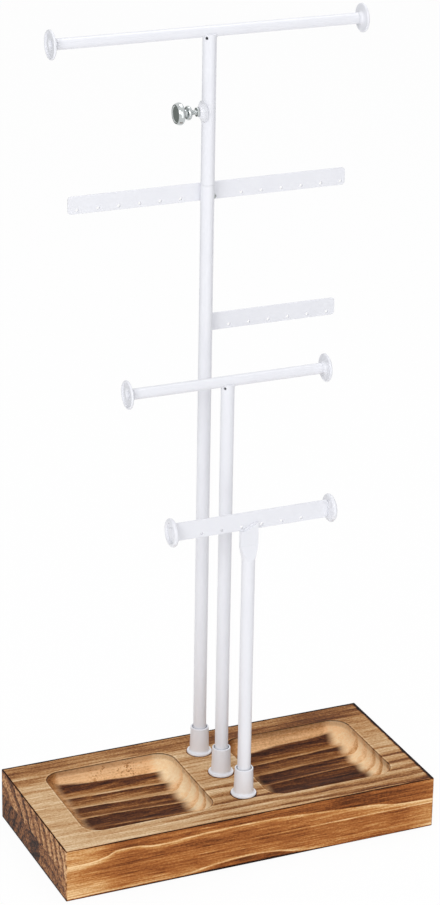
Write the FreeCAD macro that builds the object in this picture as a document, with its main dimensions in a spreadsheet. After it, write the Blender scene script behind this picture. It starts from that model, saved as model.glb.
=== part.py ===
"""Jewelry stand: three steel hangers in a row on a wooden block with two carved trays.

The rear hanger is in two parts.  Its crossbar rides on a tube that slides up a rod and swivels
on it, and a thumbscrew clamps the tube.  Lengths are millimetres.  Every hanger is modelled on
its own post's axis, with z = 0 on the block's top face, and is then placed on the block.
"""
import FreeCAD, Part
import os
import re
import Sketcher

SIZES = {
    # Wooden block, which stands on thin pads
    "block_length": 240.0, "block_depth": 110.0, "block_thickness": 33.0, "block_edge": 0.7,
    "pad_diameter": 12.0, "pad_thickness": 1.0, "pad_inset": 15.0,
    # Carved trays: a coved rounded rectangle each, with grooves along its floor
    "tray_length": 83.4, "tray_width": 76.8, "tray_corner": 11.0, "tray_depth": 10.0,
    "tray_lip": 2.5, "tray_gap": 35.6, "tray_shift": 1.2, "tray_edge": 0.4,
    "groove_radius": 9.0, "groove_depth": 2.0, "groove_pitch": 13.0, "groove_count": 5,
    "groove_end": 10.5, "groove_slant": 3.5,
    # Posts, their places on the block and the screws that hold them from beneath
    "post_diameter": 8.0, "post_wall": 1.0, "socket_depth": 8.0,
    "rear_x": 1.1, "rear_y": 30.9, "middle_x": 2.5, "middle_y": 0.9, "front_x": 4.3, "front_y": -28.6,
    "screw_diameter": 4.0, "screw_head": 7.4, "screw_head_height": 2.8, "screw_end_gap": 2.0,
    "slot_width": 1.1, "slot_depth": 1.2,
    "hole_clearance": 0.25, "washer_diameter": 12.0, "washer_thickness": 1.0,
    "counterbore_depth": 8.0, "counterbore_clearance": 1.0, "insert_length": 14.0,
    # Ferrules around the feet of the posts
    "ferrule_height": 17.5, "ferrule_flange": 15.4, "ferrule_flange_height": 1.3,
    "ferrule_foot": 12.0, "ferrule_rim": 11.2, "ferrule_mouth": 9.4, "ferrule_grip": 5.0,
    "ferrule_edge": 0.45,
    # Clearances
    "running": 0.05, "free": 0.1, "seat_gap": 0.1,
    # Round crossbars and their end caps
    "bar_diameter": 6.5, "bar_wall": 0.8, "saddle": 1.5, "vent_diameter": 1.8, "vent_drop": 3.4,
    "vent_angle": 48.0,
    "cap_diameter": 17.0, "cap_bead": 0.8, "cap_dimple": 4.4, "cap_dimple_depth": 2.2, "cap_flare": 1.6,
    "cap_neck": 2.2, "cap_neck_flare": 1.4, "cap_gap": 0.15, "cap_spigot": 5.0,
    "top_bar_length": 189.2, "middle_bar_length": 123.4, "middle_bar_height": 254.3,
    # Flat perforated strips
    "strip_height": 10.5, "strip_thickness": 1.2, "strip_corner": 2.0, "strip_edge": 0.25, "hook_hole": 2.0,
    "hook_pitch": 12.7, "hook_edge": 2.3, "weld_bite": 0.4,
    "upper_strip_height": 359.0, "upper_strip_left": 84.0, "upper_strip_right": 89.4,
    "upper_hook_first": 5.4, "upper_hooks_left": 6, "upper_hooks_right": 6, "upper_hooks_skip": 8,
    "lower_strip_height": 279.2, "lower_strip_right": 85.2, "lower_hook_last": 5.2, "lower_hooks": 6,
    # Sliding part of the rear hanger
    "rod_socket": 30.0, "rod_reach": 80.5, "neck_diameter": 4.0, "neck_length": 4.0, "rod_tip": 1.0,
    "bush_wall": 0.4, "bush_length": 12.0, "tube_wall": 0.6, "top_bar_rise": 89.1,
    "collar_screw_diameter": 2.5, "collar_screw_head": 3.4, "collar_screw_head_height": 1.5,
    "collar_screw_rise": 3.0, "collar_screw_bite": 2.0,
    # Thumbscrew on the sliding tube
    "thumbscrew_rise": 43.0, "stud_diameter": 3.0, "stud_tip_gap": 0.1, "stud_length": 13.4,
    "stud_chamfer": 0.4, "boss_reach": 6.2, "boss_flare": 12.6, "boss_nose": 6.2, "boss_base": 3.3,
    "boss_lip": 0.5, "boss_curve": 4.0, "nut_diameter": 5.2, "nut_thickness": 1.2, "nut_gap": 0.3,
    "knob_start": 11.3, "bead_length": 2.7, "bead_root": 6.2, "bead_crown": 1.1, "knob_end_gap": 0.3,
    "knob_neck": 4.6, "knob_neck_length": 2.6, "head_diameter": 13.0, "head_taper": 1.5,
    "head_back_crown": 0.8, "head_shoulder": 2.4, "head_shoulder_drop": 1.0, "head_dish": 0.4,
    "head_rim": 0.6,
    # Front hanger, whose post is pressed flat at the top
    "front_strip_height": 177.4, "front_strip_tall": 11.0, "front_strip_length": 97.8,
    "front_strip_shift": 2.3, "front_hooks": 6, "front_cap_bead": 1.4, "front_cap_button": 5.6,
    "front_cap_button_rise": 0.8,
    "tongue_width": 11.4, "tongue_thickness": 2.4, "tongue_round": 18.0, "tongue_flat": 9.3,
    "tongue_lap_low": 0.2, "tongue_lap_high": 4.4, "tongue_slope_start": 2.6, "tube_end_gap": 2.0,
}

document = FreeCAD.newDocument("jewelry_stand")
sheet = document.addObject("Spreadsheet::Sheet", "Sizes")
for row, (alias, number) in enumerate(SIZES.items(), start=1):
    sheet.set("A%d" % row, alias.replace("_", " "))
    sheet.set("B%d" % row, str(number))
    sheet.setAlias("B%d" % row, alias)
document.recompute()

# Lengths that several pieces share, worked out from the sheet
DECK = "(pad_thickness + block_thickness)"
POST_BORE = "(post_diameter - 2 * post_wall)"
TUBE_BORE = "(%s + 2 * running + 2 * bush_wall)" % POST_BORE
TUBE_DIAMETER = "(%s + 2 * tube_wall)" % TUBE_BORE
BAR_BORE = "(bar_diameter - 2 * bar_wall)"
COLLAR_BOTTOM = "(upper_strip_height - strip_height / 2)"
COLLAR_TOP = "(upper_strip_height + strip_height / 2)"
TOP_BAR_HEIGHT = "(%s + top_bar_rise)" % COLLAR_TOP
ROD_TOP = "(%s + rod_reach)" % COLLAR_TOP
THUMBSCREW_HEIGHT = "(%s + thumbscrew_rise)" % COLLAR_TOP
FRONT_STRIP_BOTTOM = "(front_strip_height - front_strip_tall / 2)"
COLUMNS = {"rear": ("rear_x", "rear_y"), "middle": ("middle_x", "middle_y"), "front": ("front_x", "front_y")}
SUBPARTS = []


def bound(text):
    """Turn words that are aliases into references to the sheet."""
    return re.sub(r"[a-z_]+", lambda word: "Sizes." + word[0] if word[0] in SIZES else word[0], str(text))


def value(text):
    """Work an expression out as a number."""
    return float(sheet.evalExpression(bound(text)))


def new_body(label):
    """Start a body and list it as a sub-part."""
    body = document.addObject("PartDesign::Body", label)
    body.Label = label
    SUBPARTS.append(body)
    return body


def origin_feature(body, role):
    """One of the planes or axes of a body's own origin."""
    return next(item for item in body.Origin.OriginFeatures if item.Role == role)


def new_sketch(body, role, shift="0", rise="0"):
    """Attach a sketch to one of the body's own origin planes, moved along its normal and upward."""
    drawing = body.newObject("Sketcher::SketchObject", body.Name + "_sketch")
    drawing.AttachmentSupport = [(origin_feature(body, role), "")]
    drawing.MapMode = "FlatFace"
    drawing.setExpression("AttachmentOffset.Base.z", bound(shift))
    drawing.setExpression("AttachmentOffset.Base.y", bound(rise))
    return drawing


def turn_sketch(drawing, angle):
    """Turn a sketch about its own upright axis."""
    upright = FreeCAD.Vector(0, 1, 0)
    drawing.AttachmentOffset = FreeCAD.Placement(FreeCAD.Vector(0, 0, 0), FreeCAD.Rotation(upright, 1))
    drawing.setExpression("AttachmentOffset.Rotation.Angle", bound(angle))


def constrain(drawing, kind, where, text):
    """Add one measured constraint and bind it to the sheet."""
    index = drawing.addConstraint(Sketcher.Constraint(kind, *where, value(text)))
    name = "size_%d" % index
    drawing.renameConstraint(index, name)
    drawing.setExpression("Constraints." + name, bound(text))


def draw_outline(drawing, points):
    """Draw a closed outline.  A point is (x, y), or (x, y, radius, turn) for the arc that reaches it."""
    places = [FreeCAD.Vector(value(point[0]), value(point[1]), 0) for point in points]
    first = drawing.GeometryCount
    ends = []
    for index in range(len(points)):
        start, following = places[index], (index + 1) % len(points)
        finish, target = places[following], points[following]
        if len(target) == 2:
            drawing.addGeometry(Part.LineSegment(start, finish), False)
            ends.append((1, 2))
            continue
        radius, left = value(target[2]), target[3] == "left"
        half = (finish - start) / 2
        across = FreeCAD.Vector(-half.y, half.x, 0).normalize() * (1 if left else -1)
        centre = start + half + across * max(radius ** 2 - half.Length ** 2, 0) ** 0.5
        begin, stop = (start, finish) if left else (finish, start)
        angles = [FreeCAD.Vector(1, 0, 0).getAngle(end - centre) for end in (begin, stop)]
        angles = [-angle if (end - centre).y < 0 else angle for angle, end in zip(angles, (begin, stop))]
        circle = Part.Circle(centre, FreeCAD.Vector(0, 0, 1), radius)
        drawing.addGeometry(Part.ArcOfCircle(circle, *angles), False)
        ends.append((1, 2) if left else (2, 1))
    for index, point in enumerate(points):
        following = (index + 1) % len(points)
        here, there = first + index, first + following
        joint = (here, ends[index][1], there, ends[following][0])
        drawing.addConstraint(Sketcher.Constraint("Coincident", *joint))
        constrain(drawing, "DistanceX", (-1, 1, here, ends[index][0]), point[0])
        constrain(drawing, "DistanceY", (-1, 1, here, ends[index][0]), point[1])
        if len(points[following]) == 4:
            constrain(drawing, "Radius", (here,), points[following][2])


def draw_circle(drawing, x, y, diameter):
    """Draw one circle."""
    centre = FreeCAD.Vector(value(x), value(y), 0)
    radius = "(%s) / 2" % diameter
    index = drawing.addGeometry(Part.Circle(centre, FreeCAD.Vector(0, 0, 1), value(radius)), False)
    constrain(drawing, "DistanceX", (-1, 1, index, 3), x)
    constrain(drawing, "DistanceY", (-1, 1, index, 3), y)
    constrain(drawing, "Radius", (index,), radius)


def rounded_rectangle(left, bottom, right, top, corner):
    """Outline of a rectangle whose four corners are rounded alike."""
    near_left, near_right = "%s + %s" % (left, corner), "%s - %s" % (right, corner)
    near_bottom, near_top = "%s + %s" % (bottom, corner), "%s - %s" % (top, corner)
    return [(near_left, bottom, corner, "left"), (near_right, bottom),
            (right, near_bottom, corner, "left"), (right, near_top),
            (near_right, top, corner, "left"), (near_left, top),
            (left, near_top, corner, "left"), (left, near_bottom)]


def add_feature(body, kind, drawing, **settings):
    """Add a sketch-based feature; text settings are bound to the sheet."""
    feature = body.newObject("PartDesign::" + kind, body.Name + "_" + kind)
    feature.Profile = drawing
    for name, setting in settings.items():
        if name in ("Length", "Angle"):
            feature.setExpression(name, bound(setting))
        else:
            setattr(feature, name, setting)
    document.recompute()
    return feature


def cut(body, drawing, upward=False, **settings):
    """Cut a pocket and make sure that it took material away."""
    before = body.Shape.Volume
    settings.setdefault("Type", "Length" if "Length" in settings else "ThroughAll")
    add_feature(body, "Pocket", drawing, Reversed=upward, **settings)
    if not body.Shape.Volume < before - 1e-3:
        raise RuntimeError(body.Label + ": a pocket cut nothing")


def repeat(body, feature, direction, spacing, count):
    """Repeat a feature in a straight line."""
    pattern = body.newObject("PartDesign::LinearPattern", body.Name + "_pattern")
    pattern.Originals = [feature]
    pattern.Direction = direction
    pattern.setExpression("Length", bound("%s * (%s - 1)" % (spacing, count)))
    pattern.setExpression("Occurrences", bound(count))
    body.Tip = pattern
    document.recompute()


def round_edges(body, kind, size, wanted):
    """Fillet or chamfer the edges of the body's last feature that the test picks."""
    base = body.Tip
    names = ["Edge%d" % (index + 1) for index, edge in enumerate(base.Shape.Edges) if wanted(edge)]
    feature = body.newObject("PartDesign::" + kind, body.Name + "_" + kind)
    feature.Base = (base, names)
    feature.setExpression("Radius" if kind == "Fillet" else "Size", bound(size))
    document.recompute()


def turned(label, points, axis="V_Axis"):
    """A piece turned about z (V_Axis) or about x (H_Axis), from its half section."""
    body = new_body(label)
    drawing = new_sketch(body, "XZ_Plane")
    draw_outline(drawing, points)
    add_feature(body, "Revolution", drawing, ReferenceAxis=(drawing, [axis]), Angle="360")
    return body


def place(piece, column, height="0", along="0", back="0"):
    """Stand a piece on the block, on the axis of one column or moved along x and back from it."""
    x, y = COLUMNS[column]
    piece.setExpression("Placement.Base.x", bound("%s + %s" % (x, along)))
    piece.setExpression("Placement.Base.y", bound("%s + %s" % (y, back)))
    piece.setExpression("Placement.Base.z", bound("%s + %s" % (DECK, height)))
    return piece


def grouped(label, pieces):
    """Several separate solids as one sub-part."""
    group = document.addObject("Part::Compound", label)
    group.Label = label
    group.Links = pieces
    for piece in pieces:
        if piece in SUBPARTS:
            SUBPARTS.remove(piece)
    SUBPARTS.append(group)
    return group


def ring(inner, outer, bottom, top):
    """Half section of a plain ring or tube."""
    inner, outer = "(%s) / 2" % inner, "(%s) / 2" % outer
    return [(inner, bottom), (outer, bottom), (outer, top), (inner, top)]


def base_block():
    """Wooden block: two trays, a socket for each post, and a counterbored screw hole under each."""
    body = new_body("base_block")
    drawing = new_sketch(body, "XY_Plane")
    half_length, half_depth = "block_length / 2", "block_depth / 2"
    draw_outline(drawing, [("-" + half_length, "-" + half_depth), (half_length, "-" + half_depth),
                           (half_length, half_depth), ("-" + half_length, half_depth)])
    add_feature(body, "Pad", drawing, Length="block_thickness")
    round_edges(body, "Fillet", "block_edge", lambda edge: True)
    for side in (-1, 1):
        carve_tray(body, side)
    holes = [("block_thickness", "post_diameter", {"Length": "socket_depth"}),
             ("0", "screw_diameter + 2 * hole_clearance", {"upward": True}),
             ("0", "washer_diameter + 2 * counterbore_clearance",
              {"upward": True, "Length": "counterbore_depth"})]
    for level, diameter, settings in holes:
        drawing = new_sketch(body, "XY_Plane", level)
        for x, y in COLUMNS.values():
            draw_circle(drawing, x, y, diameter)
        cut(body, drawing, **settings)
    body.setExpression("Placement.Base.z", bound("pad_thickness"))


def carve_tray(body, side):
    """One tray: a rounded pocket with a coved foot, a softened rim and grooves along its floor."""
    middle = "(tray_shift + %d * (tray_gap + tray_length) / 2)" % side
    floor = "block_thickness - tray_depth"
    drawing = new_sketch(body, "XY_Plane", "block_thickness")
    draw_outline(drawing, rounded_rectangle("%s - tray_length / 2" % middle, "-tray_width / 2",
                                            "%s + tray_length / 2" % middle, "tray_width / 2", "tray_corner"))
    cut(body, drawing, Length="tray_depth")
    centre, depth, top = value(middle), value(floor), value("block_thickness")
    reach = value("(tray_length + tray_gap) / 2")

    def in_tray(edge, level):
        box = edge.BoundBox
        flat = abs(box.ZMin - level) < 1e-4 and abs(box.ZMax - level) < 1e-4
        return flat and abs(edge.CenterOfMass.x - centre) < reach and edge.Length < value("block_length") / 2

    def on_rim(edge):
        spot = edge.CenterOfMass
        inside = abs(spot.y) < value("tray_width / 2 + tray_edge")
        return in_tray(edge, top) and inside and abs(spot.x - centre) < value("tray_length / 2 + 1")

    round_edges(body, "Fillet", "tray_depth - tray_lip", lambda edge: in_tray(edge, depth))
    round_edges(body, "Fillet", "tray_edge", on_rim)
    start = "%s - tray_length / 2 + groove_end" % middle
    stop = "%s + tray_length / 2 - groove_end" % middle
    slant = "%d * groove_slant" % side
    nearest = "%s * sin(%s) + groove_pitch * (groove_count - 1) / 2" % (middle, slant)
    drawing = new_sketch(body, "XZ_Plane", nearest, floor + " - groove_depth + groove_radius")
    turn_sketch(drawing, slant)
    draw_outline(drawing, [("%s - groove_radius" % start, "0"),
                           (start, "-groove_radius", "groove_radius", "left"), (stop, "-groove_radius"),
                           ("%s + groove_radius" % stop, "0", "groove_radius", "left")])
    groove = add_feature(body, "Groove", drawing, ReferenceAxis=(drawing, ["H_Axis"]), Angle="360")
    repeat(body, groove, (origin_feature(body, "Y_Axis"), [""]), "groove_pitch", "groove_count")


def base_pads():
    """Thin pads near the corners of the block."""
    pads = []
    for x_side in (-1, 1):
        for y_side in (-1, 1):
            pad = document.addObject("Part::Cylinder", "pad")
            pad.setExpression("Radius", bound("pad_diameter / 2"))
            pad.setExpression("Height", bound("pad_thickness"))
            pad.setExpression("Placement.Base.x", bound("%d * (block_length / 2 - pad_inset)" % x_side))
            pad.setExpression("Placement.Base.y", bound("%d * (block_depth / 2 - pad_inset)" % y_side))
            pads.append(pad)
    grouped("base_pads", pads)


def post_fixings():
    """Under each post: a threaded insert in the tube, and a washer and slotted screw in the block."""
    seat = "(counterbore_depth - block_thickness)"
    head_top = "(%s - washer_thickness)" % seat
    head_bottom = "(%s - screw_head_height)" % head_top
    tip = "(insert_length - socket_depth - screw_end_gap)"
    inserts, washers, screws = [], [], []
    for column in COLUMNS:
        insert = turned("insert", ring("screw_diameter", POST_BORE, "-socket_depth",
                                       "insert_length - socket_depth"))
        inserts.append(place(insert, column))
        washer = turned("washer", ring("screw_diameter + 2 * hole_clearance", "washer_diameter",
                                       head_top, seat))
        washers.append(place(washer, column))
        screw = turned("screw", [("0", head_bottom), ("screw_head / 2", head_bottom),
                                 ("screw_head / 2", head_top), ("screw_diameter / 2", head_top),
                                 ("screw_diameter / 2", tip), ("0", tip)])
        drawing = new_sketch(screw, "XY_Plane", head_bottom)
        draw_outline(drawing, [("-screw_head", "-slot_width / 2"), ("screw_head", "-slot_width / 2"),
                               ("screw_head", "slot_width / 2"), ("-screw_head", "slot_width / 2")])
        cut(screw, drawing, upward=True, Length="slot_depth")
        screws.append(place(screw, column))
    grouped("post_inserts", inserts)
    grouped("screw_washers", washers)
    grouped("post_screws", screws)


def ferrule(column):
    """Flanged sleeve around a post's foot: it grips low down and stands open at its mouth."""
    grip, edge, height = "post_diameter / 2 + free", "ferrule_edge", "ferrule_height"
    flange, thick = "ferrule_flange / 2", "ferrule_flange_height"
    flare = "(%s - %s - ferrule_foot / 2)" % (flange, edge)
    place(turned(column + "_ferrule", [
        (grip, "0"), (flange + " - " + edge, "0"), (flange, edge, edge, "left"),
        (flange, thick + " - " + edge), (flange + " - " + edge, thick, edge, "left"),
        ("ferrule_foot / 2", thick + " + " + flare, flare, "right"),
        ("ferrule_rim / 2", height + " - " + edge), ("ferrule_rim / 2 - " + edge, height, edge, "left"),
        ("ferrule_mouth / 2", height), ("ferrule_mouth / 2", "ferrule_grip"), (grip, "ferrule_grip")]), column)


def saddle_top(body, bar_height):
    """Cope a tube's end around a round crossbar and drill the vent hole beside it."""
    drawing = new_sketch(body, "YZ_Plane")
    draw_circle(drawing, "0", bar_height, "bar_diameter")
    cut(body, drawing, SideType="Symmetric")
    drawing = new_sketch(body, "XZ_Plane")
    turn_sketch(drawing, "-vent_angle")
    draw_circle(drawing, "0", bar_height + " - vent_drop", "vent_diameter")
    cut(body, drawing, upward=True)


def round_bar(label, column, length, height):
    """Round tube across a post; length is from disc to disc, and a cap's neck fills each end of it."""
    half = "(%s / 2 - cap_neck - cap_gap)" % length
    bore, outside = BAR_BORE + " / 2", "bar_diameter / 2"
    bar = turned(label, [("-" + half, bore), (half, bore), (half, outside), ("-" + half, outside)], "H_Axis")
    place(bar, column, height)


def both_ends(label, points, column, length, height, along="0", back="0"):
    """A turned cap on each end of a bar; its points run outward from the bar's end."""
    for name, side in (("left", -1), ("right", 1)):
        cap = turned("%s_%s" % (label, name), points, "H_Axis")
        cap.Placement = FreeCAD.Placement(FreeCAD.Vector(0, 0, 0),
                                          FreeCAD.Rotation(FreeCAD.Vector(0, 0, 1), 0 if side > 0 else 180))
        place(cap, column, height, "%s + %d * %s / 2" % (along, side, length), back)


def beaded_rim(bead):
    """The rolled rim of a cap's disc, from its hollow outer face round to its back."""
    rim = "cap_diameter / 2"
    return [(bead, "%s - 2 * %s" % (rim, bead)), ("2 * " + bead, "%s - %s" % (rim, bead), bead, "left"),
            (bead, rim, bead, "left"), ("0", "%s - %s" % (rim, bead), bead, "left")]


def dished_caps(label, column, length, height):
    """Caps of a round bar: a disc with a dimple, on a flared neck whose spigot is pressed into the tube."""
    spigot, neck, dimple = BAR_BORE + " / 2", "bar_diameter / 2", "cap_dimple / 2"
    floor, tip = "cap_bead - cap_dimple_depth", "-cap_neck - cap_spigot"
    points = [(tip, "0"), (floor, "0"), (floor, dimple), ("cap_bead - cap_flare", dimple),
              ("cap_bead", dimple + " + cap_flare", "cap_flare", "left")]
    points += beaded_rim("cap_bead")
    points += [("0", neck + " + cap_neck_flare"), ("-cap_neck_flare", neck, "cap_neck_flare", "right"),
               ("-cap_neck", neck), ("-cap_neck", spigot), (tip, spigot)]
    both_ends(label, points, column, length, height)


def flat_strip(label, column, left, right, bottom, top, front):
    """Flat strip along x with rounded corners; front is how far it lies behind the post's axis."""
    body = new_body(label)
    drawing = new_sketch(body, "XZ_Plane", "-(%s + strip_thickness)" % front)
    draw_outline(drawing, rounded_rectangle(left, bottom, right, top, "strip_corner"))
    add_feature(body, "Pad", drawing, Length="strip_thickness")
    round_edges(body, "Fillet", "strip_edge", lambda edge: edge.BoundBox.YLength < 1e-4)
    return place(body, column)


def hook_holes(body, first, height, count, front):
    """A row of small holes that earring hooks go through."""
    drawing = new_sketch(body, "XZ_Plane", "-(%s)" % front)
    draw_circle(drawing, first, height, "hook_hole")
    cut(body, drawing)
    repeat(body, body.Tip, (drawing, ["H_Axis"]), "hook_pitch", count)


def weld_seat(body, diameter):
    """Hollow the front of a strip where it is welded to a round post."""
    drawing = new_sketch(body, "XY_Plane")
    draw_circle(drawing, "0", "0", diameter)
    cut(body, drawing, upward=True)


def earring_strips():
    """The two perforated strips behind the rear post: one across it, and a shorter one to its right."""
    front = TUBE_DIAMETER + " / 2 - weld_bite"
    upper = flat_strip("upper_earring_bar", "rear", "-upper_strip_left", "upper_strip_right",
                       COLLAR_BOTTOM, COLLAR_TOP, front)
    weld_seat(upper, TUBE_DIAMETER)
    first, height = "upper_hook_first - upper_strip_left", COLLAR_BOTTOM + " + hook_edge"
    hook_holes(upper, first, height, "upper_hooks_left", front)
    hook_holes(upper, first + " + upper_hooks_skip * hook_pitch", height, "upper_hooks_right", front)
    bottom, front = "(lower_strip_height - strip_height / 2)", "post_diameter / 2 - weld_bite"
    lower = flat_strip("lower_earring_bar", "rear", "-post_diameter / 4", "lower_strip_right",
                       bottom, "lower_strip_height + strip_height / 2", front)
    weld_seat(lower, "post_diameter")
    last = "lower_strip_right - lower_hook_last"
    hook_holes(lower, last + " - (lower_hooks - 1) * hook_pitch", bottom + " + hook_edge", "lower_hooks", front)


def rear_hanger():
    """Fixed half of the rear hanger: the post, its collar, and the rod that the sliding tube rides on."""
    place(turned("rear_post", ring(POST_BORE, "post_diameter", "-socket_depth", COLLAR_BOTTOM)), "rear")
    collar = turned("rear_collar", ring(POST_BORE, TUBE_DIAMETER, COLLAR_BOTTOM, COLLAR_TOP))
    screw_height = COLLAR_BOTTOM + " + collar_screw_rise"
    drawing = new_sketch(collar, "YZ_Plane")
    draw_circle(drawing, "0", screw_height, "collar_screw_diameter")
    cut(collar, drawing, upward=True)
    place(collar, "rear")
    radius, neck = POST_BORE + " / 2", "neck_diameter / 2"
    shoulder = ROD_TOP + " - rod_tip"
    rod = turned("inner_rod", [
        ("0", COLLAR_BOTTOM + " - rod_socket"), (radius, COLLAR_BOTTOM + " - rod_socket"),
        (radius, shoulder + " - neck_length"), (neck, shoulder + " - neck_length"), (neck, shoulder),
        (radius, shoulder), (radius, ROD_TOP), ("0", ROD_TOP)])
    seat = radius + " - collar_screw_bite"
    drawing = new_sketch(rod, "YZ_Plane", seat)
    draw_circle(drawing, "0", screw_height, "collar_screw_diameter")
    cut(rod, drawing, upward=True)
    place(rod, "rear")
    face, shank, head = TUBE_DIAMETER + " / 2", "collar_screw_diameter / 2", "collar_screw_head / 2"
    dome = "((%s) ^ 2 + collar_screw_head_height ^ 2) / (2 * collar_screw_head_height)" % head
    screw = turned("collar_screw", [(seat, "0"), (face + " + collar_screw_head_height", "0"),
                                    (face, head, dome, "left"), (face, shank), (seat, shank)], "H_Axis")
    place(screw, "rear", screw_height)
    guide = turned("rod_guide", ring("neck_diameter + 2 * running", TUBE_BORE + " - 2 * running",
                                     shoulder + " - neck_length + running", shoulder + " - running"))
    place(guide, "rear")


def sliding_tube():
    """Moving half of the rear hanger: the tube, its bush, and the boss that the thumbscrew threads into."""
    seat = COLLAR_TOP + " + seat_gap"
    tube = turned("upper_tube", ring(TUBE_BORE, TUBE_DIAMETER, seat, TOP_BAR_HEIGHT + " - saddle"))
    saddle_top(tube, TOP_BAR_HEIGHT)
    stud_bore = "stud_diameter + 2 * running"
    drawing = new_sketch(tube, "YZ_Plane")
    draw_circle(drawing, "0", THUMBSCREW_HEIGHT, stud_bore)
    cut(tube, drawing)
    place(tube, "rear")
    bush = turned("tube_bush", ring(POST_BORE + " + 2 * running", TUBE_BORE, seat, seat + " + bush_length"))
    place(bush, "rear")
    bore = "(%s) / 2" % stud_bore
    boss = turned("thumbscrew_boss", [
        ("-boss_reach", bore), ("-boss_base", bore), ("-boss_base", "boss_flare / 2"),
        ("-boss_base - boss_lip", "boss_flare / 2"), ("-boss_reach", "boss_nose / 2", "boss_curve", "right")],
        "H_Axis")
    drawing = new_sketch(boss, "XY_Plane")
    draw_circle(drawing, "0", "0", TUBE_DIAMETER)
    cut(boss, drawing, SideType="Symmetric")
    place(boss, "rear", THUMBSCREW_HEIGHT)


def thumbscrew():
    """Threaded stud with its thin nut, and the turned knob on its outer end; they point along -x."""
    tip = "-(%s / 2 + stud_tip_gap)" % POST_BORE
    end = tip + " - stud_length"
    radius, edge = "stud_diameter / 2", "stud_diameter / 2 - stud_chamfer"
    stud = turned("thumbscrew_stud", [(end, "0"), (tip, "0"), (tip, edge), (tip + " - stud_chamfer", radius),
                                      (end, radius)], "H_Axis")
    place(stud, "rear", THUMBSCREW_HEIGHT)
    inner = "-boss_reach - nut_gap"
    outer, wide = inner + " - nut_thickness", "nut_diameter / 2"
    nut = turned("thumbscrew_nut", [(outer, radius), (inner, radius), (inner, wide), (outer, wide)], "H_Axis")
    place(nut, "rear", THUMBSCREW_HEIGHT)
    bore, root, neck, rim = radius + " + running", "bead_root / 2", "knob_neck / 2", "head_diameter / 2"
    bead_end = "-knob_start - bead_length"
    neck_end = bead_end + " - knob_neck_length"
    widest = neck_end + " - head_taper"
    face = widest + " - head_shoulder"
    dish, dish_rim = face + " + head_dish", rim + " - head_shoulder_drop - head_rim"
    bead = "(bead_crown ^ 2 + (bead_length / 2) ^ 2) / (2 * bead_crown)"
    shoulder = "(head_shoulder ^ 2 + head_shoulder_drop ^ 2) / (2 * head_shoulder_drop)"
    socket = end + " - knob_end_gap"
    knob = turned("thumbscrew_knob", [
        (dish, "0"), (socket, "0"), (socket, bore), ("-knob_start", bore), ("-knob_start", root),
        (bead_end, root, bead, "left"), (bead_end, neck), (neck_end, neck),
        (neck_end, rim + " - head_back_crown"), (widest, rim, "head_taper", "left"),
        (face, rim + " - head_shoulder_drop", shoulder, "left"), (face, dish_rim),
        (dish, dish_rim + " - head_dish")], "H_Axis")
    place(knob, "rear", THUMBSCREW_HEIGHT)


def middle_hanger():
    """Middle hanger: a post coped under a round crossbar."""
    post = turned("middle_post", ring(POST_BORE, "post_diameter", "-socket_depth",
                                      "middle_bar_height - saddle"))
    saddle_top(post, "middle_bar_height")
    place(post, "middle")
    round_bar("middle_bar", "middle", "middle_bar_length", "middle_bar_height")
    dished_caps("middle_bar_cap", "middle", "middle_bar_length", "middle_bar_height")


def front_hanger():
    """Front hanger: a post pressed flat at the top, where its tongue laps the front of a strip."""
    round_end = "(%s - tongue_round)" % FRONT_STRIP_BOTTOM
    flat_start = "(%s - tongue_flat)" % FRONT_STRIP_BOTTOM
    top, side, bore = "front_strip_height", "tongue_width / 2", POST_BORE + " / 2"
    post = turned("front_post", [
        (bore, "-socket_depth"), ("post_diameter / 2", "-socket_depth"), ("post_diameter / 2", round_end),
        (side, flat_start), (side, top), ("0", top), ("0", round_end + " - tube_end_gap"),
        (bore, round_end + " - tube_end_gap")])
    for sign, mirrored in (("-", False), ("", True)):
        face, tube = sign + "tongue_thickness / 2", sign + "post_diameter / 2"
        outside, above = sign + "tongue_width", top + " + tongue_width"
        points = [(tube, round_end), (face, flat_start), (face, above), (outside, above), (outside, round_end)]
        drawing = new_sketch(post, "YZ_Plane")
        draw_outline(drawing, points[::-1] if mirrored else points)
        cut(post, drawing, SideType="Symmetric")
    low, high = FRONT_STRIP_BOTTOM + " + tongue_lap_low", FRONT_STRIP_BOTTOM + " + tongue_lap_high"
    drawing = new_sketch(post, "XZ_Plane")
    draw_outline(drawing, [("-tongue_width", low), ("-tongue_slope_start", low), (side, high),
                           ("tongue_width", high), ("tongue_width", top + " + tongue_width"),
                           ("-tongue_width", top + " + tongue_width")])
    cut(post, drawing, SideType="Symmetric")
    place(post, "front")
    front, half = "tongue_thickness / 2", "front_strip_length / 2"
    strip = flat_strip("front_bar", "front", "front_strip_shift - " + half, "front_strip_shift + " + half,
                       FRONT_STRIP_BOTTOM, "front_strip_height + front_strip_tall / 2", front)
    first = "front_strip_shift - hook_pitch * (front_hooks - 1) / 2"
    hook_holes(strip, first, FRONT_STRIP_BOTTOM + " + hook_edge", "front_hooks", front)
    bead, button = "front_cap_bead", "front_cap_button / 2"
    rise = bead + " + front_cap_button_rise"
    points = [("0", "0"), (rise, "0"), (rise, button), (bead, button + " + front_cap_button_rise")]
    both_ends("front_bar_cap", points + beaded_rim(bead), "front", "front_strip_length",
              "front_strip_height", "front_strip_shift", front + " + strip_thickness / 2")


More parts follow.
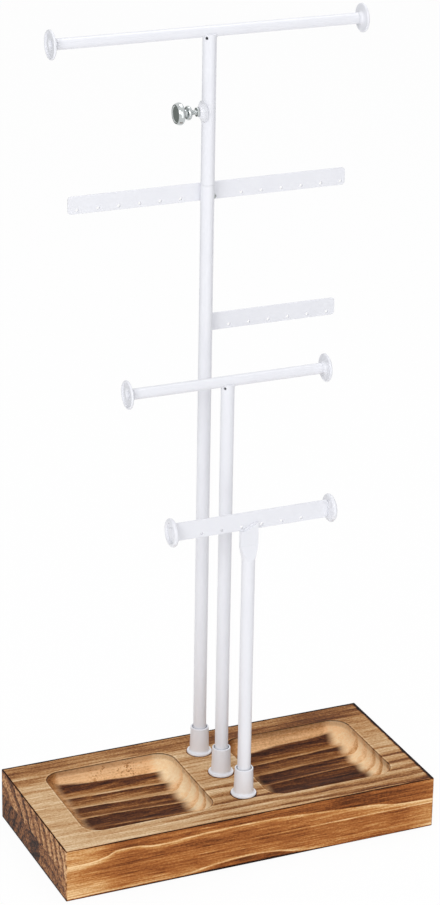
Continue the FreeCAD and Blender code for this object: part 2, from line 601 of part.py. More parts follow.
def export():
    """Check every object and every sub-part, then write each sub-part to its own file."""
    document.recompute()
    faulty = [item.Name for item in document.Objects if {"Invalid", "Error"} & set(item.State)]
    faulty += [part.Label for part in SUBPARTS if part.Shape.isNull() or not part.Shape.isValid()]
    if faulty:
        raise RuntimeError("failed: " + ", ".join(faulty))
    os.makedirs("parts", exist_ok=True)
    for part in SUBPARTS:
        part.Shape.exportStep(os.path.join("parts", part.Label + ".step"))
        print("%-22s %2d solids %10.1f mm3" % (part.Label, len(part.Shape.Solids), part.Shape.Volume))


base_block()
base_pads()
post_fixings()
for name in COLUMNS:
    ferrule(name)
rear_hanger()
earring_strips()
sliding_tube()
round_bar("top_bar", "rear", "top_bar_length", TOP_BAR_HEIGHT)
dished_caps("top_bar_cap", "rear", "top_bar_length", TOP_BAR_HEIGHT)
thumbscrew()
middle_hanger()
front_hanger()
export()
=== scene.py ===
"""Jewelry stand: a torched pine block with two trays, and three white steel hangers."""
import math

import bpy
from mathutils import Matrix, Vector


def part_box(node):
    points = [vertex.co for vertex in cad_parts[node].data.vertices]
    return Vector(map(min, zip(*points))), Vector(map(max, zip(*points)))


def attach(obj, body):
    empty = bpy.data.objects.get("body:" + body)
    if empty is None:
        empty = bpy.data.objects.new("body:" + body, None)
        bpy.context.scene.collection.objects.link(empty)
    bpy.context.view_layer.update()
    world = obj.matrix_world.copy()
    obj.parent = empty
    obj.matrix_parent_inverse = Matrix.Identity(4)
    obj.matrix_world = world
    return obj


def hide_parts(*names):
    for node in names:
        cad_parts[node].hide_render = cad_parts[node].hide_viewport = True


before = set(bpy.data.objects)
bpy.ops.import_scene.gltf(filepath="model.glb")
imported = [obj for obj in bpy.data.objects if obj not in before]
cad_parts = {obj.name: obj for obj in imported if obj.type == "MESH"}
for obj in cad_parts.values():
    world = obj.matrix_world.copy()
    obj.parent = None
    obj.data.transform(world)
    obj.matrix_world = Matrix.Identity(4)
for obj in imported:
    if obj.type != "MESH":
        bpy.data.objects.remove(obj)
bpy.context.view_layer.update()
MM = 0.001

# ---- Wooden block ------------------------------------------------------------------
# Two pine boards glued face to face.  Both trays and their floor grooves are carved out of the
# upper one, a gas torch darkens edges, hollows and hard grain, and a thin matt lacquer closes it.
# Shade is also painted into the floor grooves and round the foot of each ferrule.


class Wire:
    """One output of a material's nodes, which ordinary sums can work on."""

    def __init__(self, tree, socket=None):
        self.tree = tree
        self.socket = socket

    def add(self, kind, inputs=None, out=0, stops=None, points=None, **settings):
        """Make a node: its settings, its ramp or curve, then its inputs."""
        node = self.tree.nodes.new(kind)
        for name, setting in settings.items():
            setattr(node, name, setting)
        if stops:
            elements = node.color_ramp.elements
            for place, _ in stops[1:-1]:
                elements.new(place)
            for element, (place, shade) in zip(elements, stops):
                element.position = place
                element.color = shade
        if points:
            curve = node.mapping.curves[0]
            curve.points[0].location = points[0]
            curve.points[1].location = points[-1]
            for point in points[1:-1]:
                curve.points.new(*point)
            node.mapping.update()
        for name, value in (inputs or {}).items():
            if isinstance(value, Wire):
                self.tree.links.new(value.socket, node.inputs[name])
            else:
                node.inputs[name].default_value = value
        return Wire(self.tree, node.outputs[out])

    def calc(self, operation, first, second=0.0):
        """One step of arithmetic."""
        return self.add("ShaderNodeMath", {0: first, 1: second}, operation=operation)

    def __add__(self, other):
        return self.calc("ADD", self, other)

    __radd__ = __add__

    def __sub__(self, other):
        return self.calc("SUBTRACT", self, other)

    def __rsub__(self, other):
        return self.calc("SUBTRACT", other, self)

    def __mul__(self, other):
        return self.calc("MULTIPLY", self, other)

    __rmul__ = __mul__

    def __truediv__(self, other):
        return self.calc("DIVIDE", self, other)

    def __pow__(self, other):
        return self.calc("POWER", self, other)

    def __abs__(self):
        return self.calc("ABSOLUTE", self)


def paint(code):
    """Linear colour of a six-digit paint code."""
    parts = [int(code[place:place + 2], 16) / 255 for place in (0, 2, 4)]
    linear = [part / 12.92 if part <= 0.04045 else ((part + 0.055) / 1.055) ** 2.4 for part in parts]
    return (*linear, 1.0)


def fade(value, start, stop):
    """Rise smoothly from 0 at start to 1 at stop."""
    return value.add("ShaderNodeMapRange", {0: value, 1: start, 2: stop}, interpolation_type="SMOOTHSTEP")


def blend(amount, first, second):
    """Mix two colours."""
    return amount.add("ShaderNodeMix", {0: amount, 6: first, 7: second}, out=2, data_type="RGBA")


def lesser(first, second):
    """The smaller of two values."""
    return first.calc("MINIMUM", first, second)


def greater(first, second):
    """The larger of two values."""
    return first.calc("MAXIMUM", first, second)


def new_finish(name, **constants):
    """Start a material; its shader takes the constants, by the names of its sockets."""
    material = bpy.data.materials.new(name)
    material.use_nodes = True
    shader = material.node_tree.nodes["Principled BSDF"]
    for socket, value in constants.items():
        shader.inputs[socket.replace("_", " ").title().replace("Ior", "IOR")].default_value = value
    return material, Wire(material.node_tree), shader


def plug(shader, **sources):
    """Link outputs to the shader's inputs."""
    for socket, source in sources.items():
        shader.id_data.links.new(source.socket, shader.inputs[socket.replace("_", " ").title()])


def dress(finish, *names):
    """Give solids of the frame their finish."""
    for name in names:
        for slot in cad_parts[name].material_slots:
            slot.material = finish


def position(wire):
    """Place on the object, in millimetres, as three numbers."""
    spot = wire.add("ShaderNodeTexCoord", out=3)
    spot = wire.add("ShaderNodeVectorMath", {0: spot, "Scale": 1 / MM}, operation="SCALE")
    return [wire.add("ShaderNodeSeparateXYZ", {0: spot}, out=axis) for axis in range(3)]


def noise(x, y, z, sizes, seed, detail=3.0, rough=0.5):
    """Cloudy noise from 0 to 1, whose features have these sizes in millimetres."""
    spot = x.add("ShaderNodeCombineXYZ", {0: x / sizes[0], 1: y / sizes[1], 2: z / sizes[2]})
    return x.add("ShaderNodeTexNoise", {"Vector": spot, "W": seed, "Scale": 1.0, "Detail": detail,
                                        "Roughness": rough}, noise_dimensions="4D")


def bump(height, distance, strength=1.0):
    """Surface relief, in millimetres."""
    return height.add("ShaderNodeBump", {"Height": height, "Distance": distance * MM, "Strength": strength})


pine, wire, shader = new_finish("torched_pine", coat_weight=0.02, coat_roughness=0.3,
                                specular_ior_level=0.06)
x, y, z = position(wire)
block_low, block_high = (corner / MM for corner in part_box("base_block"))
half_length, half_depth = block_high.x, block_high.y
top, bottom, glue = block_high.z, block_low.z, (block_high.z + block_low.z) / 2

# Fibres: long streaks, fine lines, slow clouds and small flecks
streak = noise(x, y, z, (70.0, 2.2, 2.2), 11.0, 4.0, 0.6) - 0.5
fibre = noise(x, y, z, (18.0, 0.5, 0.5), 17.0, 3.0, 0.65) - 0.5
cloud = noise(x, y, z, (45.0, 16.0, 16.0), 23.0, 2.0) - 0.5
fleck = noise(x, y, z, (1.6, 1.0, 1.0), 29.0, 3.0, 0.7) - 0.5
ragged = noise(x, y, z, (8.0, 8.0, 8.0), 31.0, 3.0)
pits = fade(noise(x, y, z, (9.0, 1.5, 1.5), 33.0, 2.0), 0.44, 0.62) - 0.4

# Growth rings.  Each board has its own heart, below it, and the upper one's rings narrow outward.
# All places and sizes from here on are millimetres from the middle of the block, at the table.
slow = noise(x, y, z, (150.0, 70.0, 70.0), 3.0, 1.0) - 0.5
sway = noise(x, y, z, (32.0, 11.0, 11.0), 7.0, 2.0) - 0.5
upper_heart, upper_unit, upper_power = (61.7, -19.8), 31.0, 1.71
lower_heart, lower_unit, lower_power = (-22.0, -28.0), 7.0, 1.0
lower_ring_shift = 40.3
rings = []
for (heart_y, heart_z), unit, power in ((upper_heart, upper_unit, upper_power),
                                        (lower_heart, lower_unit, lower_power)):
    radius = ((y - heart_y) ** 2 + (z - heart_z) ** 2) ** 0.5 + slow * 8.0 + sway * 4.5
    rings.append((radius / unit) ** power)
upper = fade(z, glue - 0.1, glue + 0.1)
wobble = (noise(x, y, z, (40.0, 2.6, 2.6), 37.0, 3.0) - 0.5) * 0.3
ring_count = rings[0] * upper + (rings[1] + lower_ring_shift) * (1.0 - upper) + wobble
saw = wire.calc("FRACT", ring_count)
each = wire.add("ShaderNodeTexWhiteNoise", {"W": wire.calc("FLOOR", ring_count)}, noise_dimensions="1D")
late = fade(saw, 0.3, 0.82) * fade(saw, 1.0, 0.9) * (0.45 + 0.55 * each)

# Which face a point is on
front = fade(y, -half_depth + 1.0, -half_depth + 0.3)
back = fade(y, half_depth - 1.0, half_depth - 0.3)
ends = fade(half_length - abs(x), 0.9, 0.3)

# Top: pale and quiet on the left, lined on the right, browner along the back
lined = 0.15 + 0.85 * fade(x + cloud * 90.0, -100.0, 30.0) * fade(y + cloud * 20.0, 4.0, -30.0)
torch_and_shade = 0.25 + 0.85 * streak + 0.75 * fibre + 0.7 * fleck + 0.42 * late * lined + 0.06 * pits
torch_and_shade = torch_and_shade + (0.17 + 0.5 * cloud) * fade(y + cloud * 22.0 + x * 0.03, 27.0, 45.0)
torch_and_shade = torch_and_shade + 0.12 * fade(x + cloud * 60.0, 30.0, 100.0) * fade(y + cloud * 30.0, 0.0, 34.0)
torch_and_shade = torch_and_shade + 0.06 * fade(x + cloud * 60.0, 10.0, 60.0) * fade(y, -30.0, -40.0)
pale_front = fade(y, -36.0, -44.0) * fade(x + cloud * 60.0, 20.0, -30.0)
torch_and_shade = torch_and_shade - 0.05 * fade(x, -90.0, -110.0) - 0.06 * pale_front
dark_ring = y + sway * 2.0
dark_ring = fade(dark_ring, 22.0, 35.0) * fade(dark_ring, 36.8, 35.8) * fade(x, -80.0, -100.0)
torch_and_shade = torch_and_shade + 0.24 * dark_ring

# Plan distance from the rim of either tray; both are alike about the gap between them
tray_shift, tray_reach, tray_length, tray_width, tray_corner = 1.2, 59.5, 83.4, 76.8, 11.0
from_tray = x - tray_shift
outward = abs(from_tray) - tray_reach
across = abs(outward) - (tray_length / 2 - tray_corner)
along = abs(y) - (tray_width / 2 - tray_corner)
beyond = (greater(across, 0.0) ** 2 + greater(along, 0.0) ** 2) ** 0.5
rim = beyond + lesser(greater(across, along), 0.0) - tray_corner
inside = fade(rim, 0.35, -0.25)
right_tray = fade(from_tray, -1.0, 1.0)
eastward = from_tray + tray_reach - 2.0 * tray_reach * right_tray

# Tray floors: dark lies thickest under the rear crest of each groove and thins toward the next; it is
# partly soot and partly painted shade of the groove's back wall, and the grooves nearer the front are burnt
# through to their crests
groove_pitch, groove_slant = 13.0, math.tan(math.radians(3.5))
beside = y - outward * groove_slant + streak * 3.0 + sway * 3.0
phase = lesser(beside, 2.4 * groove_pitch) / groove_pitch + 0.5
phase = wire.calc("FRACT", phase)
burnt_through = fade(y + cloud * 10.0, 6.0, -4.0)
faint_soot_and_shade = lesser(phase / 0.92, 1.0) ** 1.6 * (1.0 - burnt_through)
soot_and_shade = lesser(fade(phase, 0.04, 0.5) * burnt_through + faint_soot_and_shade, fade(phase, 1.0, 0.94))
last_grooves = fade(y + cloud * 6.0, -8.0, -18.0)
crest = 0.22 + 0.1 * burnt_through + last_grooves * (0.19 + 0.08 * right_tray) + 0.12 * right_tray
edge_reach = fade(abs(outward) + cloud * 7.0 + sway * 3.0, 37.0, 28.5)
floor_reach = edge_reach * fade(beside, 35.0, 33.6) * fade(z, top - 2.0, top - 6.0)
bowl = crest + (0.76 - crest) * soot_and_shade + 0.05 * right_tray
bowl = bowl + 0.7 * streak + 0.8 * fibre + 0.5 * fleck + 0.06 * pits
torch_and_shade = torch_and_shade * (1.0 - inside) + bowl * inside

# Tray walls: planed clean, orange at the back and paler at the right, with scorched specks in the
# left tray
pale_wall = 0.33 + 0.09 * right_tray - 0.2 * fade(eastward, 27.0, 35.0)
pale_wall = pale_wall + 0.4 * streak + 0.3 * fibre + 0.45 * fleck
pale_wall = pale_wall + 0.3 * late * fade(eastward, 27.0, 33.0) * fade(y, 24.0, 10.0)
scorch = fade(fleck * 1.6 + ragged, 0.6, 0.8) * fade(abs(eastward - 8.0), 22.0, 8.0) * fade(y, 24.0, 32.0)
pale_wall = pale_wall + 0.3 * scorch * (1.0 - right_tray) + 0.3 * fade(eastward, -30.0, -38.0)

# Burnt lines: along the outer edges, widest at the right, and thin and broken round the tray rims
right_edge, back_edge = (half_length - x) / 3.0, (half_depth - y) / 2.2
left_edge, front_edge = (half_length + x) / 0.9, (half_depth + y) / 0.6
sides = lesser(lesser(right_edge, back_edge), lesser(left_edge, front_edge))
near_side = lesser(lesser(half_length - abs(x), half_depth - abs(y)), 50.0)
upper_line = greater((top - z) / 0.6, sides)
lower_line = greater((z - bottom) / (0.6 + 2.6 * ragged), near_side / 1.2)
charred = fade(lesser(upper_line, lower_line) * (0.6 + 0.8 * ragged), 1.0, 0.4)
far_rim = 0.5 + 0.5 * greater(fade(y, 20.0, 34.0), fade(eastward, -30.0, -40.0))
rim_line = fade(abs(rim + 0.1), 0.75, 0.2) * fade(z, top - 1.2, top - 0.4)
rim_line = rim_line * (0.35 + 0.65 * fade(ragged, 0.3, 0.6)) * far_rim
halo = fade(abs(rim - 1.0), 0.7, 0.2) * fade(z, top - 0.5, top - 0.1)
torch_and_shade = torch_and_shade + 0.8 * charred + 0.65 * rim_line - 0.08 * halo
# Painted contact shade: a dark ring on the top round the foot of each ferrule, where shade falls
for foot in ("rear_ferrule", "middle_ferrule", "front_ferrule"):
    low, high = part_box(foot)
    middle, flange = (low + high) / 2 / MM, (high.x - low.x) / 2 / MM
    away = ((x - middle.x) ** 2 + (y - middle.y) ** 2) ** 0.5
    torch_and_shade = torch_and_shade + 0.4 * fade(away, flange + 0.9, flange) * fade(z, top - 1.0, top - 0.2)

board = wire.add("ShaderNodeValToRGB", {0: torch_and_shade}, stops=[
    (0.0, paint("edd3ad")), (0.2, paint("d1ac80")), (0.38, paint("b58453")), (0.55, paint("85532c")),
    (0.72, paint("5a3420")), (0.86, paint("3d241b")), (1.0, paint("1c110c"))])
wall_board = wire.add("ShaderNodeValToRGB", {0: pale_wall}, stops=[
    (0.0, paint("fae4c2")), (0.15, paint("f1d4a9")), (0.32, paint("f0c392")), (0.5, paint("c58f5a")),
    (0.75, paint("84522d")), (1.0, paint("3a2010"))])
board = blend(inside * (1.0 - floor_reach) * fade(z, top + 0.1, top - 0.7), board, wall_board)

# Front: one pale ring wanders along the upper board, the glue line shows pale on the right, and
# a ring of the lower board rises to an arch in the middle
share = (x + half_length) / (2 * half_length)
thickness = top - bottom


def ring_path(knots):
    """Height above a ring of the front; a knot is how far along and how far down it lies."""
    curve = wire.add("ShaderNodeFloatCurve", {1: share},
                     points=[(place / (2 * half_length), drop / thickness) for place, drop in knots])
    return z - (top - thickness * curve)


above = ring_path([(0, 10.5), (15, 10.3), (25, 8.6), (34, 5.6), (44, 5.7), (58, 7.6), (85, 6.3), (130, 5.8),
                   (165, 8.0), (200, 10.6), (216, 13.0), (240, 14.2)]) + streak * 0.8
arch = ring_path([(0, 31.0), (45, 31.2), (80, 30.6), (93, 28.6), (120, 27.0), (134, 27.8), (150, 30.6),
                  (240, 31.6)]) + streak * 0.8
seam = z - glue - 0.2 + streak * 0.5
line = fade(abs(above), 0.8, 0.1)
glue_line = fade(abs(seam), 0.6, 0.1) * (0.2 + 0.8 * fade(x + cloud * 40.0, -10.0, 40.0))
glue_line = glue_line * fade(x, -100.0, -85.0)
arch_line = fade(abs(arch), 0.9, 0.15)
golden = fade(above, -3.4, -1.0) * fade(above, 0.2, -0.6)
between = fade(above, 0.0, -1.5) * upper * fade(x + cloud * 30.0, 20.0, 70.0)
face = 0.495 + 0.95 * streak + 1.15 * fibre + 0.35 * cloud + 0.6 * fleck + 0.05 * late + 0.05 * pits
face = face - 0.26 * fade(x + cloud * 24.0, -half_length + 40.0, -half_length + 4.0)
face = face - 0.17 * fade(x + cloud * 20.0, half_length - 26.0, half_length)
face = face + 0.12 * fade(above, 0.0, 0.9) * fade(x, -110.0, -80.0) - 0.15 * golden - 0.1 * between
face = face + 0.1 * fade(abs(seam - 0.9), 0.8, 0.2) * fade(x, -20.0, 30.0)
face = face + 0.06 * upper * fade(x + cloud * 20.0, 40.0, 80.0) * fade(above, -1.0, 1.0)
face = face - 0.34 * line - 0.26 * glue_line - 0.28 * arch_line - 0.1 * fade(z, bottom + 9.0, bottom + 3.0)
face = face + 0.3 * fade(arch, 0.0, -1.0) * fade(abs(x), 40.0, 20.0) + 0.6 * charred
front_board = wire.add("ShaderNodeValToRGB", {0: face}, stops=[
    (0.0, paint("f3cf9c")), (0.25, paint("d09a5e")), (0.42, paint("b4733c")), (0.58, paint("98582b")),
    (0.76, paint("6b3a1c")), (1.0, paint("20120c"))])

# Ends: strong dark rings on pinkish wood, and the lower board browner with a charred patch
patch = fade(abs(y + 2.0 + (ragged - 0.5) * 12.0), 12.0, 4.0) + 0.5 * fade(y + cloud * 16.0, 4.0, 24.0)
lower = 1.0 - upper
end_grain_and_highlight = 0.31 + (0.5 - 0.2 * lower) * late + fleck + 0.3 * (ragged - 0.5) + 0.38 * pits
end_grain_and_highlight = end_grain_and_highlight + 0.06 * fade(y, -18.0, -8.0) * fade(y, 22.0, 12.0)
end_grain_and_highlight = end_grain_and_highlight - 0.08 * (1.0 - lower) * fade(y, -16.0, -26.0)
end_grain_and_highlight = end_grain_and_highlight + 0.05 * fade(y, 10.0, 40.0) + lower * (0.18 + 0.28 * patch) + 0.7 * charred
# Painted highlight: the end is paler within a few millimetres of its front corner
end_grain_and_highlight = end_grain_and_highlight - 0.2 * fade(half_depth + y, 7.0, 1.0)
end_board = wire.add("ShaderNodeValToRGB", {0: end_grain_and_highlight}, stops=[
    (0.0, paint("dfb586")), (0.25, paint("bd8a5a")), (0.45, paint("93603a")), (0.65, paint("6b4124")),
    (0.82, paint("4b2c1c")), (1.0, paint("1d110c"))])

colour = blend(greater(front, back), board, front_board)
colour = blend(ends, colour, end_board)
relief = late * 0.5 + fibre * 0.5 + streak * 0.4
plug(shader, base_color=colour, roughness=0.5 + 0.12 * torch_and_shade + 0.2 * fibre, normal=bump(relief, 0.16, 0.7))
dress(pine, "base_block")

# ---- Pads ---------------------------------------------------------------------------
# Dense foam discs on the underside, near the corners.  They stick to the wood and keep the block
# off the table.
foam, wire, shader = new_finish("foam", roughness=0.92)
x, y, z = position(wire)
cells = noise(x, y, z, (0.7, 0.7, 0.7), 41.0, 2.0)
plug(shader, base_color=blend(cells, paint("1d1d1f"), paint("34343a")), normal=bump(cells, 0.15))
dress(foam, "base_pads")

# ---- Fixings under the block -----------------------------------------------------------
# Zinc plated: a threaded insert pressed into each post, and the washer and slotted screw
# that pull it down into its socket.
zinc, wire, shader = new_finish("zinc", metallic=1.0)
x, y, z = position(wire)
plating = noise(x, y, z, (3.0, 3.0, 3.0), 43.0, 3.0)
brushed = noise(x, y, z, (0.3, 6.0, 0.3), 47.0, 2.0)
plug(shader, base_color=blend(plating, paint("a9abb0"), paint("c9ccd2")), roughness=0.26 + 0.2 * plating,
     normal=bump(brushed, 0.01))
dress(zinc, "post_inserts", "screw_washers", "post_screws")

# ---- Ferrules ------------------------------------------------------------------------------
# Turned steel sockets, one round the foot of each post, under the same white powder coat as all
# the tubes.  The coat is satin under a thin clear skin, and faintly pebbled.
powder, wire, shader = new_finish("powder_coat", specular_ior_level=0.4, coat_weight=0.55,
                                  coat_roughness=0.1)
x, y, z = position(wire)
pebble = noise(x, y, z, (0.9, 0.9, 0.9), 53.0, 2.0)
haze = noise(x, y, z, (14.0, 14.0, 22.0), 59.0, 2.0)
plug(shader, base_color=blend(haze, paint("e4e5eb"), paint("ebecf0")), roughness=0.42 + 0.12 * haze,
     normal=bump(pebble, 0.03, 0.5))
dress(powder, "rear_ferrule", "middle_ferrule", "front_ferrule")

# ---- Rear hanger, fixed half -----------------------------------------------------------------
# A tube with a collar and a thinner rod on top, and two perforated strips welded behind it.
# The welds were left lumpy and powder coated over.
dress(powder, "rear_post", "rear_collar", "inner_rod", "upper_earring_bar", "lower_earring_bar")


def new_piece(name, points, faces, finish, body):
    """Smooth mesh piece from points in millimetres, which moves with a body."""
    mesh = bpy.data.meshes.new(name)
    mesh.from_pydata([Vector(point) * MM for point in points], [], faces)
    mesh.materials.append(finish)
    mesh.shade_smooth()
    piece = bpy.data.objects.new(name, mesh)
    bpy.context.scene.collection.objects.link(piece)
    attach(piece, body)
    return piece


def skin(rows, closed):
    """Quads between rows of points that each run round a section."""
    count, around = len(rows), len(rows[0])
    return [(row * around + spot, row * around + (spot + 1) % around,
             (row + 1) % count * around + (spot + 1) % around, (row + 1) % count * around + spot)
            for row in range(count if closed else count - 1) for spot in range(around)]


bead_sides = 8
bead_end = 0.25
across_any_run = Vector((0.3, 0.5, 0.8))


def weld(name, path, body, thick=0.5, closed=False):
    """Bead of weld along a path, swelling where each puddle cooled."""
    rows = []
    for place, point in enumerate(path):
        ahead = path[(place + 1) % len(path)] if closed or place + 1 < len(path) else point
        behind = path[place - 1] if closed or place else point
        run = (Vector(ahead) - Vector(behind)).normalized()
        side = run.cross(across_any_run).normalized()
        rise = run.cross(side)
        end = bead_end if not closed and place in (0, len(path) - 1) else 1.0
        swell = 0.16 * math.sin(place * 2.1) + 0.1 * math.sin(place * 0.83)
        reach = thick * end * (1.0 + swell)
        rows.append([Vector(point) + reach * (math.cos(turn) * side + math.sin(turn) * rise)
                     for turn in (step * math.tau / bead_sides for step in range(bead_sides))])
    faces = skin(rows, closed)
    if not closed:
        faces += [tuple(range(bead_sides - 1, -1, -1)),
                  tuple(range((len(rows) - 1) * bead_sides, len(rows) * bead_sides))]
    return new_piece(name, [point for row in rows for point in row], faces, powder, body)


def span(start, stop, steps):
    """Points along a straight run."""
    return [Vector(start).lerp(Vector(stop), step / steps) for step in range(steps + 1)]


def corners(name):
    """Lowest and highest corner of a solid, in millimetres."""
    return [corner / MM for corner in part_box(name)]


bead_aside, bead_proud, bead_inset = 0.62, 0.3, 0.9
for strip, post in (("upper_earring_bar", "rear_collar"), ("lower_earring_bar", "rear_post")):
    (low, high), (post_low, post_high) = corners(strip), corners(post)
    post_middle, post_radius = (post_low.x + post_high.x) / 2, (post_high.x - post_low.x) / 2
    for side, way in (("left", -1), ("right", 1)):
        seam_x, seam_y = post_middle + way * bead_aside * post_radius, low.y - bead_proud
        if seam_x > low.x:
            seam_path = span((seam_x, seam_y, low.z + bead_inset), (seam_x, seam_y, high.z - bead_inset), 16)
            weld("%s_weld_%s" % (strip, side), seam_path, "base")

# ---- Nylon guides ------------------------------------------------------------------------
# A bush in the sliding tube's mouth and a ring in the rod's neck.  They keep steel off steel where
# the tube turns and slides.
nylon, wire, shader = new_finish("nylon", roughness=0.5)
x, y, z = position(wire)
cloudy = noise(x, y, z, (4.0, 4.0, 4.0), 61.0, 2.0)
plug(shader, base_color=blend(cloudy, paint("d9d6cc"), paint("e6e3da")), normal=bump(cloudy, 0.02))
dress(nylon, "rod_guide", "tube_bush")

# ---- Rear hanger, sliding half ---------------------------------------------------------------
# A tube that slides and turns on the rod, with a flared boss for the thumbscrew and, in its
# coped top, the crossbar with its two dished end caps.
dress(powder, "upper_tube", "thumbscrew_boss", "top_bar", "top_bar_cap_left", "top_bar_cap_right")


def saddle_weld(name, bar, post, body):
    """Closed bead where a bar lies in the coped top of a post."""
    (bar_low, bar_high), (post_low, post_high) = corners(bar), corners(post)
    radius = (bar_high.z - bar_low.z) / 2
    axis = (bar_low + bar_high) / 2
    axis.x = (post_low.x + post_high.x) / 2
    wall, lip = (post_high.x - post_low.x) / 2, axis.z - post_high.z
    path, steps = [], 48
    for step in range(steps):
        turn = step * math.tau / steps
        aside = max(-radius, min(radius, wall * math.sin(turn)))
        under = math.sqrt(max(radius ** 2 - aside ** 2, lip ** 2))
        path.append(axis + Vector((wall * math.cos(turn), aside, -under)))
    weld(name, path, body, 0.45, True)


saddle_weld("top_bar_weld", "top_bar", "upper_tube", "sleeve")

# ---- Thumbscrew ---------------------------------------------------------------------------
# Chromed steel: a threaded stud with a thin nut on it, and a turned knob with a flat head.  A
# small screw of the same finish pins the rod in its collar.
chrome, wire, shader = new_finish("chrome", metallic=1.0)
x, y, z = position(wire)
tarnish = noise(x, y, z, (2.5, 2.5, 2.5), 67.0, 3.0)
plug(shader, base_color=blend(tarnish, paint("b4b8b8"), paint("d0d4d4")), roughness=0.08 + 0.1 * tarnish,
     normal=bump(tarnish, 0.02))
dress(chrome, "thumbscrew_stud", "thumbscrew_nut", "thumbscrew_knob", "collar_screw")

low, high = corners("thumbscrew_stud")
thread_pitch, thread_depth, thread_steps, thread_sides, thread_taper = 0.5, 0.3, 6, 24, 0.6
thread_radius = (high.z - low.z) / 2
thread_rows = []
for row in range(int((high.x - low.x) / thread_pitch * thread_steps) + 1):
    along = row * thread_pitch / thread_steps
    end = min(1.0, along / thread_taper, (high.x - low.x - along) / thread_taper)
    thread_rows.append([])
    for spot in range(thread_sides):
        share = (along / thread_pitch + spot / thread_sides) % 1.0
        reach = thread_radius - thread_depth * max(abs(2.0 * share - 1.0), 1.0 - end)
        turn = spot * math.tau / thread_sides
        thread_rows[-1].append((low.x + along, (low.y + high.y) / 2 + reach * math.cos(turn),
                                (low.z + high.z) / 2 + reach * math.sin(turn)))
faces = skin(thread_rows, False)
faces += [tuple(range(thread_sides - 1, -1, -1)),
          tuple(range((len(thread_rows) - 1) * thread_sides, len(thread_rows) * thread_sides))]
stud = new_piece("threaded_stud", [point for row in thread_rows for point in row], faces, chrome,
                 "stud")
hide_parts("thumbscrew_stud")

# ---- Middle hanger ----------------------------------------------------------------------------
# A shorter tube, coped and welded under a round crossbar.  The crossbar has the same dished caps on
# pressed-in spigots.
dress(powder, "middle_post", "middle_bar", "middle_bar_cap_left", "middle_bar_cap_right")
saddle_weld("middle_bar_weld", "middle_bar", "middle_post", "base")

# ---- Front hanger -----------------------------------------------------------------------------
# The shortest tube, pressed flat at the top and cut on a slope, and welded to the front of a
# perforated strip.  The strip carries a beaded cap at each end.
dress(powder, "front_post", "front_bar", "front_bar_cap_left", "front_bar_cap_right")
(strip_low, _), (tongue_low, tongue_high) = corners("front_bar"), corners("front_post")
weld_y, weld_z = strip_low.y - 0.35, strip_low.z + 0.4
level_start = (tongue_low.x + 0.3, weld_y, weld_z)
slope_start = (tongue_low.x + 3.1, weld_y, weld_z)
slope_end = (tongue_high.x - 0.3, weld_y, tongue_high.z + 0.1)
weld("front_bar_weld", span(level_start, slope_start, 5) + span(slope_start, slope_end, 16)[1:], "base", 0.6)

# ---- Studio ---------------------------------------------------------------------------------
# A white floor under a soft, even sky, with a broad key lamp at the left.  A bright card in front
# draws a line down each tube, and a grey and a dark card give white metal and chrome darker edges.


def direct_view(wire):
    """1 for what the camera sees by itself, in a reflection or through glass, and 0 for lighting."""
    rays = [wire.add("ShaderNodeLightPath", out=kind)
            for kind in ("Is Camera Ray", "Is Glossy Ray", "Is Transmission Ray")]
    return lesser(rays[0] + rays[1] + rays[2], 1.0)


def flat_sheet(name, points, finish):
    """Four-cornered sheet of the studio, from points in metres."""
    mesh = bpy.data.meshes.new(name)
    mesh.from_pydata(points, [], [(0, 1, 2, 3)])
    mesh.materials.append(finish)
    item = bpy.data.objects.new(name, mesh)
    bpy.context.scene.collection.objects.link(item)
    return item


white = (1.0, 1.0, 1.0, 1.0)
floor_half, floor_glow = 6.0, 0.95
sweep, wire, shader = new_finish("sweep", base_color=white, roughness=0.9)
glow = wire.add("ShaderNodeEmission", {"Color": white, "Strength": 1.0})
mixed = wire.add("ShaderNodeMixShader", {0: direct_view(wire) * floor_glow,
                                         1: Wire(wire.tree, shader.outputs[0]), 2: glow})
wire.tree.links.new(mixed.socket, wire.tree.nodes["Material Output"].inputs["Surface"])
floor = flat_sheet("floor", [(-floor_half, -floor_half, 0), (floor_half, -floor_half, 0),
                             (floor_half, floor_half, 0), (-floor_half, floor_half, 0)], sweep)

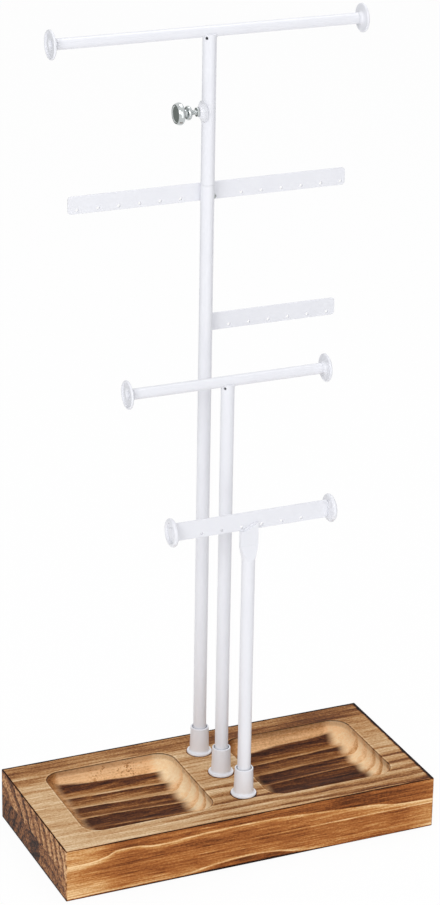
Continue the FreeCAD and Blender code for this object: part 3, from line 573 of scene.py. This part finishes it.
world = bpy.data.worlds.new("studio")
bpy.context.scene.world = world
world.use_nodes = True
wire = Wire(world.node_tree)
sky_light, sky_blue = 0.55, 1.02
sky_colour = (sky_light, sky_light, sky_light * sky_blue, 1.0)
sky = world.node_tree.nodes["Background"]
world.node_tree.links.new(blend(direct_view(wire), sky_colour, white).socket, sky.inputs["Color"])


def lamp(name, spot, target, size, power):
    """Broad soft lamp that faces the target."""
    data = bpy.data.lights.new(name, "AREA")
    data.shape = "DISK"
    data.size = size
    data.energy = power
    item = bpy.data.objects.new(name, data)
    item.location = spot
    item.rotation_euler = (Vector(target) - Vector(spot)).to_track_quat("-Z", "Y").to_euler()
    bpy.context.scene.collection.objects.link(item)


lamp("key_lamp", (-1.75, -1.5, 1.5), (0.0, 0.0, 0.2), size=1.3, power=20.0)
lamp("fill_lamp", (-0.3, -2.2, 1.1), (0.0, 0.0, 0.2), size=1.6, power=9.0)
lamp("top_lamp", (0.4, 0.4, 2.2), (0.0, 0.0, 0.1), size=1.2, power=11.0)
card_height = 0.75


def card(name, start, stop, grey, strength):
    """Upright card, from one place on the floor to another, which only reflections show."""
    finish, _, _ = new_finish(name, base_color=paint("000000"), roughness=1.0, specular_ior_level=0.0,
                              emission_color=paint(grey), emission_strength=strength)
    item = flat_sheet(name, [(*start, 0.0), (*stop, 0.0), (*stop, card_height), (*start, card_height)],
                      finish)
    item.visible_camera = item.visible_diffuse = item.visible_shadow = False


card("left_card", (-0.9, 0.35), (-0.15, 0.7), grey="868a86", strength=1.0)
card("right_card", (0.75, 0.1), (0.95, -0.5), grey="303030", strength=1.0)
card("bright_card", (-0.22, -0.8), (0.2, -0.8), grey="ffffff", strength=1.8)

camera_place = (-0.63727, -1.41522, 0.86349)
data = bpy.data.cameras.new("camera")
data.sensor_width = 36.0
data.lens = 114.12
data.clip_end = 20.0
camera = bpy.data.objects.new("camera", data)
bearing, height, tilt = (math.radians(angle) for angle in (-24.17, 21.74, 0.974))
turning = (Matrix.Rotation(bearing, 4, "Z") @ Matrix.Rotation(math.pi / 2 - height, 4, "X")
           @ Matrix.Rotation(tilt, 4, "Z"))
camera.matrix_world = Matrix.Translation(camera_place) @ turning
bpy.context.scene.collection.objects.link(camera)
bpy.context.scene.camera = camera
bpy.context.scene.view_settings.view_transform = "Standard"
